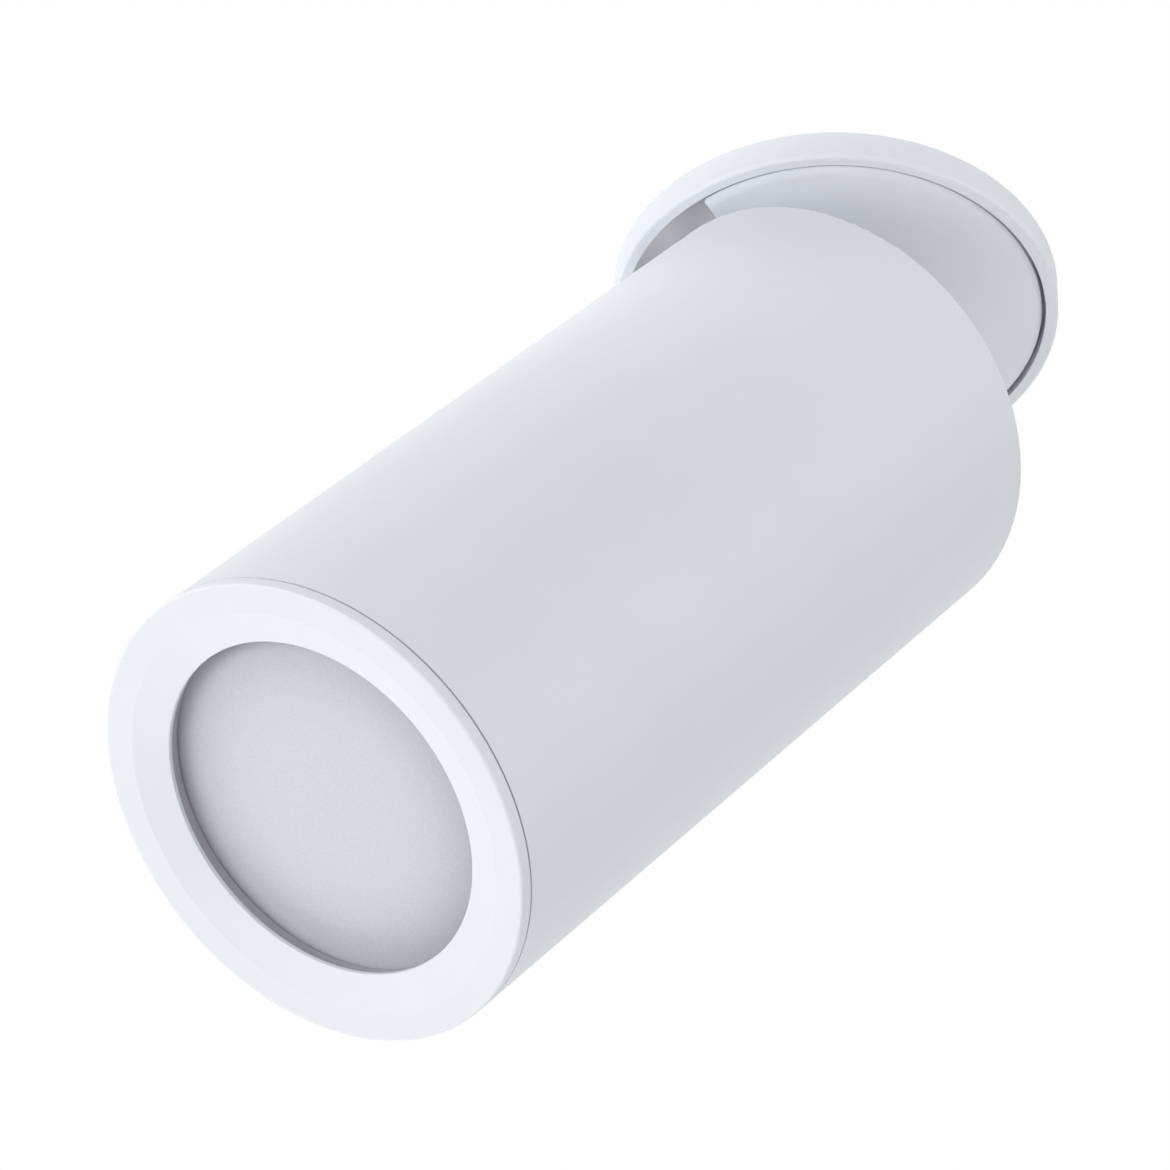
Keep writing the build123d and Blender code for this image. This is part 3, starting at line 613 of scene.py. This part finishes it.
WASHER = MouldedPlastic(
    "slippery_washer", (0.74, 0.73, 0.66), roughness=0.30, skin=0.002, glow=0.12
)
BLACK = Rubber("black_rubber", (0.028, 0.028, 0.030))
GREY = Rubber("grey_rubber", (0.15, 0.16, 0.17), bloom=1.5)
SEAL = Rubber("silicone_seal", (0.42, 0.43, 0.45), bloom=1.15)
GLAZE = GlazedCeramic()
LENS = FrostedLens()
BOARD = CircuitBoard()

Finish = (
    PowderCoat
    | GalvanisedSheet
    | TurnedMetal
    | MouldedPlastic
    | Rubber
    | GlazedCeramic
    | FrostedLens
    | CircuitBoard
)


@lru_cache(maxsize=None)
def made(finish: Finish) -> bpy.types.Material:
    """Make a finish's material the first time it is asked for, and give the same one after that."""
    return finish.material()


def coat(piece: bpy.types.Object, finish: Finish) -> bpy.types.Object:
    """Put a finish on the whole of a piece.

    Args:
        piece: The piece to dress.
        finish: Its finish.

    Returns:
        The same piece.
    """
    if not piece.data.materials:
        piece.data.materials.append(None)
    for place in range(len(piece.material_slots)):
        piece.material_slots[place].material = made(finish)
    return piece


def dress(finish: Finish, *nodes: str) -> None:
    """Give carried-over nodes their finish.

    Args:
        finish: The finish that they share.
        nodes: Their names.
    """
    for name in nodes:
        coat(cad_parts[name], finish)
        log.info("dressed %s with %s", name, finish.name)


def new_piece(name: str, shape: bmesh.types.BMesh, place: Matrix) -> bpy.types.Object:
    """Turn built geometry into a smooth piece.

    Args:
        name: The piece's name.
        shape: Its geometry in millimetres, freed here.
        place: Where it stands, in metres.

    Returns:
        The piece, linked to the scene.
    """
    bmesh.ops.recalc_face_normals(shape, faces=shape.faces)
    bmesh.ops.scale(shape, vec=(MM, MM, MM), verts=shape.verts)
    mesh = bpy.data.meshes.new(name)
    shape.to_mesh(mesh)
    shape.free()
    mesh.polygons.foreach_set("use_smooth", [True] * len(mesh.polygons))
    piece = bpy.data.objects.new(name, mesh)
    piece.matrix_world = place
    bpy.context.scene.collection.objects.link(piece)
    log.info("built %s with %d faces", name, len(mesh.polygons))
    return piece


def stand_for(piece: bpy.types.Object, body: str, node: str) -> None:
    """Let a piece ride on a body in the place of a node.

    Args:
        piece: The new piece.
        body: The body that carries it.
        node: The node that it stands for.
    """
    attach(piece, body)
    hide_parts(node)


def circle(count: int) -> list[tuple[float, float]]:
    """Give the cosine and the sine of even turns round a circle."""
    turns = [2.0 * math.pi * step / count for step in range(count)]
    return [(math.cos(turn), math.sin(turn)) for turn in turns]


def eased(
    corners: Sequence[tuple[float, float, float]], closed: bool, steps: int = 6
) -> Outline:
    """Round the corners of a turned outline.

    Args:
        corners: Radius, height and rounding of each corner, in millimetres.
        closed: Whether the last corner joins the first.
        steps: Points along each rounding.

    Returns:
        The outline's points, with a pair close to each rounding that keeps its flats flat.
    """
    points: Outline = []
    count = len(corners)
    for index, (radius, height, rounding) in enumerate(corners):
        here = Vector((radius, height))
        if not closed and index in (0, count - 1):
            points.append((radius, height))
            continue
        back = Vector(corners[index - 1][:2]) - here
        ahead = Vector(corners[(index + 1) % count][:2]) - here
        half = back.angle(ahead) / 2.0
        reach = rounding / math.tan(half)
        margin = min(0.05, 0.3 * (min(back.length, ahead.length) - reach))
        start = here + back.normalized() * reach
        end = here + ahead.normalized() * reach
        points.append(tuple(here + back.normalized() * (reach + margin)))
        for step in range(steps + 1):
            part = step / steps
            near = start.lerp(here, part).lerp(here.lerp(end, part), part)
            points.append(tuple(near))
        points.append(tuple(here + ahead.normalized() * (reach + margin)))
    return points


def turned(outline: Outline, closed: bool, steps: int) -> bmesh.types.BMesh:
    """Turn an outline about the upright axis.

    Args:
        outline: Radius and height of each point, in millimetres.
        closed: Whether the outline is a loop; if not, it runs from axis to axis.
        steps: How many times it is repeated round the turn.

    Returns:
        The turned shape.
    """
    shape = bmesh.new()
    rows = []
    for radius, height in outline:
        if radius < AXIS_REACH:
            rows.append([shape.verts.new((0.0, 0.0, height))])
            continue
        rows.append([shape.verts.new((radius * x, radius * y, height)) for x, y in circle(steps)])
    pairs = list(zip(rows, rows[1:] + rows[:1])) if closed else list(zip(rows, rows[1:]))
    for low, high in pairs:
        for step in range(steps):
            after = (step + 1) % steps
            lower = (low[step % len(low)], low[after % len(low)])
            upper = (high[after % len(high)], high[step % len(high)])
            shape.faces.new(list(dict.fromkeys(lower + upper)))
    return shape


def wire(path: Sequence[Vector], radius: float, sides: int = 14) -> bmesh.types.BMesh:
    """Draw a round wire along a path.

    Args:
        path: The points along its middle, in millimetres.
        radius: The wire's radius.
        sides: Points round the wire.

    Returns:
        The wire, closed at both ends.
    """
    shape = bmesh.new()
    rings = []
    across = Vector((0.0, 1.0, 0.0))
    for index, here in enumerate(path):
        run = (path[min(index + 1, len(path) - 1)] - path[max(index - 1, 0)]).normalized()
        across = (across - run * across.dot(run)).normalized()
        up = run.cross(across)
        around = (here + radius * (x * across + y * up) for x, y in circle(sides))
        rings.append([shape.verts.new(point) for point in around])
    for low, high in zip(rings, rings[1:]):
        for side in range(sides):
            after = (side + 1) % sides
            shape.faces.new((low[side], low[after], high[after], high[side]))
    shape.faces.new(rings[0][::-1])
    shape.faces.new(rings[-1])
    return shape


@dataclass
class HeadPlace:
    """Where the head hangs: it is drawn straight down and swung about the tilt hinge."""

    tilt: float = 35.8
    hinge_x: float = 23.2
    hinge_z: float = -13.8

    def matrix(self) -> Matrix:
        """Work out the move from the straight-down drawing to the stored pose.

        Returns:
            The move, in metres.
        """
        hinge = Vector((self.hinge_x, 0.0, self.hinge_z)) * MM
        swing = Matrix.Rotation(-math.radians(self.tilt), 4, "Y")
        return Matrix.Translation(hinge) @ swing @ Matrix.Translation(-hinge)


@dataclass
class CeilingRing:
    """The slim ring on the ceiling with its stop pin."""

    def build(self) -> None:
        """Dress the ring and its pin."""
        dress(WHITE, "trim_ring")
        dress(SCREW_UP, "ring_stop_pin")


@dataclass
class RecessHousing:
    """The cup above the ceiling with its screws, terminals and cable inlet."""

    def build(self) -> None:
        """Dress the cup and what it holds."""
        dress(SHEET, "recess_housing")
        dress(SCREW_UP, "housing_screws", "terminal_fixing_screw")
        dress(NYLON, "terminal_block")
        dress(BRASS_UP, "terminal_screws")
        dress(GREY, "inlet_grommet")


@dataclass
class SpringClip:
    """One of the two clips: lever, soft pad, pivot pin and a coiled torsion spring."""

    letter: str
    turn: float
    pivot_x: float = 23.5
    pivot_z: float = 11.0
    wire_radius: float = 0.4
    coil_radius: float = 1.8
    coil_turns: int = 4
    blade_half: float = 0.6
    leg: float = 12.0
    tail: float = 3.2
    arc_steps: int = 28

    def build(self) -> None:
        """Dress the clip's carried-over nodes and build its spring."""
        dress(SHEET, f"clip_arm_{self.letter}")
        dress(GREY, f"clip_pad_{self.letter}")
        dress(SCREW_ACROSS, f"clip_pin_{self.letter}")
        place = Matrix.Rotation(math.radians(self.turn), 4, "Z")
        spring = new_piece(f"clip_coil_{self.letter}", wire(self.path(), self.wire_radius), place)
        coat(spring, SPRING)
        stand_for(spring, f"clip_{self.letter}", f"clip_spring_{self.letter}")

    def path(self) -> list[Vector]:
        """Lead the wire from the tail round the pin and out along the blade.

        Returns:
            The points along the wire's middle.
        """
        rest = self.blade_half + self.wire_radius
        side = self.wire_radius * self.coil_turns
        coil = self.coil_radius
        points = [
            (-self.tail, -side, rest),
            (-0.75 * self.tail, -side, rest),
            (-0.42 * self.tail, -side, rest + 0.45),
            (-0.2 * self.tail, -side, coil - 0.08),
        ]
        count = self.arc_steps * self.coil_turns
        for step in range(count + 1):
            angle = 2.0 * math.pi * step / self.arc_steps
            along = side * (2.0 * step / count - 1.0)
            points.append((coil * math.sin(angle), along, coil * math.cos(angle)))
        points += [
            (0.9, side, coil - 0.06),
            (2.1, side, rest + 0.5),
            (3.2, side, rest + 0.12),
            (4.2, side, rest),
            (0.5 * self.leg, side, rest),
            (self.leg, side, rest),
        ]
        return [Vector((self.pivot_x + x, y, self.pivot_z + z)) for x, y, z in points]


@dataclass
class Turntable:
    """The plate that turns in the ring, with its washers, nut, wire bush and hinge arm."""

    def build(self) -> None:
        """Dress the plate and what it carries."""
        dress(WHITE, "hinge_arm")
        dress(PLATE, "turntable_plate")
        dress(SCREW_UP, "turntable_stop_pin", "arm_screws")
        dress(WASHER, "bearing_washer", "friction_washer")
        dress(BRASS_UP, "stem_nut")
        dress(NYLON, "cable_bush")


@dataclass
class HeadBody:
    """The tube with its rear cap, tilt hinge, earth tag and lampholder."""

    def build(self) -> None:
        """Dress the tube and what it holds."""
        dress(WHITE, "tube", "rear_cap")
        dress(SCREW_HEAD, "cap_screws", "strap_screws", "holder_screws", "earth_screw")
        dress(SCREW_ACROSS, "hinge_screw", "hinge_nut")
        dress(WASHER, "tilt_washers")
        dress(SHEET, "holder_strap")
        dress(BRASS_HEAD, "earth_tag")
        dress(GREY, "cable_grommet")
        dress(GLAZE, "lampholder")


@dataclass
class ReflectorLamp:
    """The twist-lock lamp: shell, base, pins, board and the frosted lens."""

    place: Matrix
    lens_front: float = -120.0
    lens_radius: float = 22.75
    lens_thickness: float = 1.5
    dome: float = 0.4
    rim_rounding: float = 0.25
    back_rounding: float = 0.1
    rows: int = 24
    steps: int = 192

    def build(self) -> None:
        """Dress the lamp's nodes and build its lens."""
        dress(SHELL, "lamp_housing")
        dress(NYLON, "lamp_base")
        dress(BRASS_HEAD, "lamp_pins")
        dress(BOARD, "led_board")
        shape = turned(self.outline(), False, self.steps)
        lens = coat(new_piece("frosted_lens_disc", shape, self.place), LENS)
        stand_for(lens, "lamp", "lamp_lens")

    def outline(self) -> Outline:
        """Draw the lens from its domed front round its rim to its flat back.

        Returns:
            The outline from axis to axis.
        """
        back = self.lens_front + self.lens_thickness
        edge = self.lens_radius - self.rim_rounding
        front = []
        for row in range(self.rows + 1):
            radius = edge * row / self.rows
            rise = self.dome * (1.0 - (radius / self.lens_radius) ** 2)
            front.append((radius, self.lens_front - rise))
        rim_front = front[-1][1]
        rim = (
            (edge, rim_front, 0.0),
            (self.lens_radius, rim_front, self.rim_rounding * 0.8),
            (self.lens_radius, back, self.back_rounding),
            (0.0, back, 0.0),
        )
        return front + eased(rim, False)[1:]


@dataclass
class FrontBezel:
    """The front ring with its flat band, funnel and thin lip, and what sits behind it."""

    place: Matrix
    outer: float = 30.0
    band: float = 26.25
    opening: float = 21.87
    step: float = 25.95
    front: float = -124.0
    rim_width: float = 0.45
    rim_fall: float = 0.02
    band_fall: float = 0.2
    funnel_fall: float = 1.49
    lip: float = 0.6
    back: float = -122.25
    steps: int = 256

    def build(self) -> None:
        """Dress the skirt and its seals and build the front ring."""
        dress(WHITE, "bezel_skirt")
        dress(BLACK, "bezel_o_ring")
        dress(SEAL, "bezel_gasket")
        shape = turned(eased(self.corners(), True), True, self.steps)
        ring = coat(new_piece("bezel_front_ring", shape, Matrix()), WHITE)
        ring.data.transform(self.place)
        stand_for(ring, "bezel", "front_bezel")

    def corners(self) -> list[tuple[float, float, float]]:
        """List the corners of the ring's section.

        Returns:
            Radius, height and rounding of each corner.
        """
        band_z = self.front + self.band_fall
        lip_front = band_z + self.funnel_fall
        lip_back = lip_front + self.lip
        return [
            (self.opening, lip_front, 0.15),
            (self.band, band_z, 0.35),
            (self.outer - self.rim_width, self.front, 0.12),
            (self.outer, self.front + self.rim_fall, 0.38),
            (self.outer, self.back, 0.08),
            (self.step, self.back, 0.05),
            (self.step, lip_back, 0.05),
            (self.opening, lip_back, 0.12),
        ]


@dataclass(frozen=True)
class StudioLamp:
    """One large soft lamp, and the way in which it stands from the object."""

    name: str
    toward: tuple[float, float, float]
    watts: float
    distance: float = 1.3
    size: float = 0.9

    def build(self, target: Vector) -> None:
        """Hang the lamp and aim it.

        Args:
            target: The point that it lights.
        """
        data = bpy.data.lights.new(self.name, "AREA")
        data.shape = "DISK"
        data.size = self.size
        data.energy = self.watts
        lamp = bpy.data.objects.new(self.name, data)
        way = Vector(self.toward).normalized()
        lamp.location = target + way * self.distance
        lamp.rotation_euler = way.to_track_quat("Z", "Y").to_euler()
        bpy.context.scene.collection.objects.link(lamp)
        log.info("hung %s", self.name)


@dataclass
class Studio:
    """The pale floor, the ceiling's white patch, the soft light and the white background."""

    floor_z: float = -1.5
    floor_size: float = 6.0
    floor_glow: float = 0.62
    floor_shades: tuple[Colour, Colour] = ((0.84, 0.84, 0.84), (0.88, 0.88, 0.88))
    patch_centre: tuple[float, float] = (6.0, 12.0)
    patch_radius: float = 56.0
    patch_hole: float = 28.6
    patch_z: float = -0.02
    patch_steps: int = 96
    patch_paint: Colour = (0.85, 0.85, 0.85)
    ambient: float = 0.227
    target: tuple[float, float, float] = (0.035, 0.0, -0.065)
    lamps: tuple[StudioLamp, ...] = (
        StudioLamp("key_lamp", (0.952, -0.168, -0.255), 7.2),
        StudioLamp("low_lamp", (-0.145, -0.855, -0.499), 7.9),
        StudioLamp("front_lamp", (0.783, 0.293, -0.549), 5.5),
        StudioLamp("rim_lamp", (0.724, -0.098, 0.683), 5.1),
        StudioLamp("side_lamp", (-0.748, 0.635, -0.195), 5.0),
        StudioLamp("fill_lamp", (-0.302, 0.805, -0.510), 3.4),
        StudioLamp("top_lamp", (0.389, 0.787, 0.479), 3.3),
    )

    def build(self) -> None:
        """Set up the stage, the world and the lamps."""
        self.floor()
        self.ceiling_patch()
        self.world()
        for lamp in self.lamps:
            lamp.build(Vector(self.target))

    def floor(self) -> None:
        """Lay the plain pale floor far below the object."""
        shape = bmesh.new()
        bmesh.ops.create_grid(shape, x_segments=4, y_segments=4, size=self.floor_size / MM / 2.0)
        plane = new_piece("studio_floor", shape, Matrix.Translation((0.0, 0.0, self.floor_z)))
        plane.data.materials.append(self.floor_material())

    def floor_material(self) -> bpy.types.Material:
        """Add a glow that only the camera sees to the floor's pale paint.

        Returns:
            The material.
        """
        knit = Stitch("pale_floor")
        knit.finish(
            base_color=knit.ramp(knit.noise(1.5), tuple(zip((0.0, 1.0), self.floor_shades))),
            roughness=0.8,
        )
        glow = knit.node("Emission")
        camera_ray = knit.node("LightPath").outputs["Is Camera Ray"]
        knit.feed(glow.inputs["Strength"], knit.maths("MULTIPLY", camera_ray, self.floor_glow))
        both = knit.node("AddShader")
        knit.feed(both.inputs[0], knit.shader.outputs[0])
        knit.feed(both.inputs[1], glow.outputs[0])
        knit.feed(knit.surface, both.outputs[0])
        return knit.material

    def ceiling_patch(self) -> None:
        """Lay the patch of ceiling round the ring, white from below and clear from above."""
        shape = bmesh.new()
        x_mid, y_mid = self.patch_centre
        far, near = [], []
        for x, y in circle(self.patch_steps):
            outside = (x_mid + self.patch_radius * x, y_mid + self.patch_radius * y, 0.0)
            far.append(shape.verts.new(outside))
            near.append(shape.verts.new((self.patch_hole * x, self.patch_hole * y, 0.0)))
        for step in range(self.patch_steps):
            after = (step + 1) % self.patch_steps
            shape.faces.new((near[step], near[after], far[after], far[step]))
        patch = new_piece("ceiling_patch", shape, Matrix.Translation((0.0, 0.0, self.patch_z * MM)))
        for face in patch.data.polygons:
            if face.normal.z > 0:
                face.flip()
        patch.data.materials.append(self.patch_material())

    def patch_material(self) -> bpy.types.Material:
        """Mix the patch's white glow, its plain white paint and its clear upper side.

        Returns:
            The material.
        """
        knit = Stitch("white_ceiling")
        path = knit.node("LightPath")
        glow = knit.node("Emission")
        clear = knit.node("BsdfTransparent")
        knit.finish(base_color=self.patch_paint, roughness=0.8)
        below = knit.node("MixShader")
        knit.feed(below.inputs[0], path.outputs["Is Camera Ray"])
        knit.feed(below.inputs[1], knit.shader.outputs[0])
        knit.feed(below.inputs[2], glow.outputs[0])
        both = knit.node("MixShader")
        knit.feed(both.inputs[0], knit.node("NewGeometry").outputs["Backfacing"])
        knit.feed(both.inputs[1], below.outputs[0])
        knit.feed(both.inputs[2], clear.outputs[0])
        knit.feed(knit.surface, both.outputs[0])
        return knit.material

    def world(self) -> None:
        """Light all round evenly and show plain white behind the object."""
        world = bpy.data.worlds.new("studio")
        bpy.context.scene.world = world
        world.use_nodes = True
        tree = world.node_tree
        light = tree.nodes["Background"]
        light.inputs["Color"].default_value = (*PURE_WHITE, 1.0)
        light.inputs["Strength"].default_value = self.ambient
        shown = tree.nodes.new("ShaderNodeBackground")
        shown.inputs["Color"].default_value = (*PURE_WHITE, 1.0)
        path = tree.nodes.new("ShaderNodeLightPath")
        seen = path.outputs["Is Camera Ray"]
        for name in ("Is Glossy Ray", "Is Transmission Ray"):
            either = tree.nodes.new("ShaderNodeMath")
            either.operation = "MAXIMUM"
            tree.links.new(seen, either.inputs[0])
            tree.links.new(path.outputs[name], either.inputs[1])
            seen = either.outputs[0]
        mix = tree.nodes.new("ShaderNodeMixShader")
        tree.links.new(seen, mix.inputs[0])
        tree.links.new(light.outputs[0], mix.inputs[1])
        tree.links.new(shown.outputs[0], mix.inputs[2])
        tree.links.new(mix.outputs[0], tree.nodes["World Output"].inputs["Surface"])


@dataclass
class Viewpoint:
    """The camera, below the object and in front of its light end."""

    place: tuple[float, float, float] = (0.230571, 0.446014, -0.496962)
    right: tuple[float, float, float] = (-0.9037543, 0.42686126, 0.03190031)
    up: tuple[float, float, float] = (0.30444307, 0.58860193, 0.74890733)
    lens: float = 160.1384
    sensor: float = 36.0
    nearest: float = 0.01
    farthest: float = 50.0

    def build(self) -> None:
        """Set up the camera and make it the scene's own."""
        data = bpy.data.cameras.new("view")
        data.lens = self.lens
        data.sensor_width = self.sensor
        data.clip_start = self.nearest
        data.clip_end = self.farthest
        camera = bpy.data.objects.new("view", data)
        right, up = Vector(self.right), Vector(self.up)
        turn = Matrix((right, up, right.cross(up))).transposed().to_4x4()
        camera.matrix_world = Matrix.Translation(self.place) @ turn
        bpy.context.scene.collection.objects.link(camera)
        bpy.context.scene.camera = camera


def main() -> None:
    """Build every sub-assembly, the studio and the camera."""
    logging.basicConfig(level=logging.INFO, format="%(message)s")
    Viewpoint().build()
    head = HeadPlace().matrix()
    assemblies = (
        CeilingRing(),
        RecessHousing(),
        SpringClip("a", 0.0),
        SpringClip("b", 180.0),
        Turntable(),
        HeadBody(),
        ReflectorLamp(head),
        FrontBezel(head),
        Studio(),
    )
    for assembly in assemblies:
        log.info("building %s", type(assembly).__name__)
        assembly.build()
    bpy.context.scene.view_settings.view_transform = "Standard"


if __name__ == "__main__":
    main()
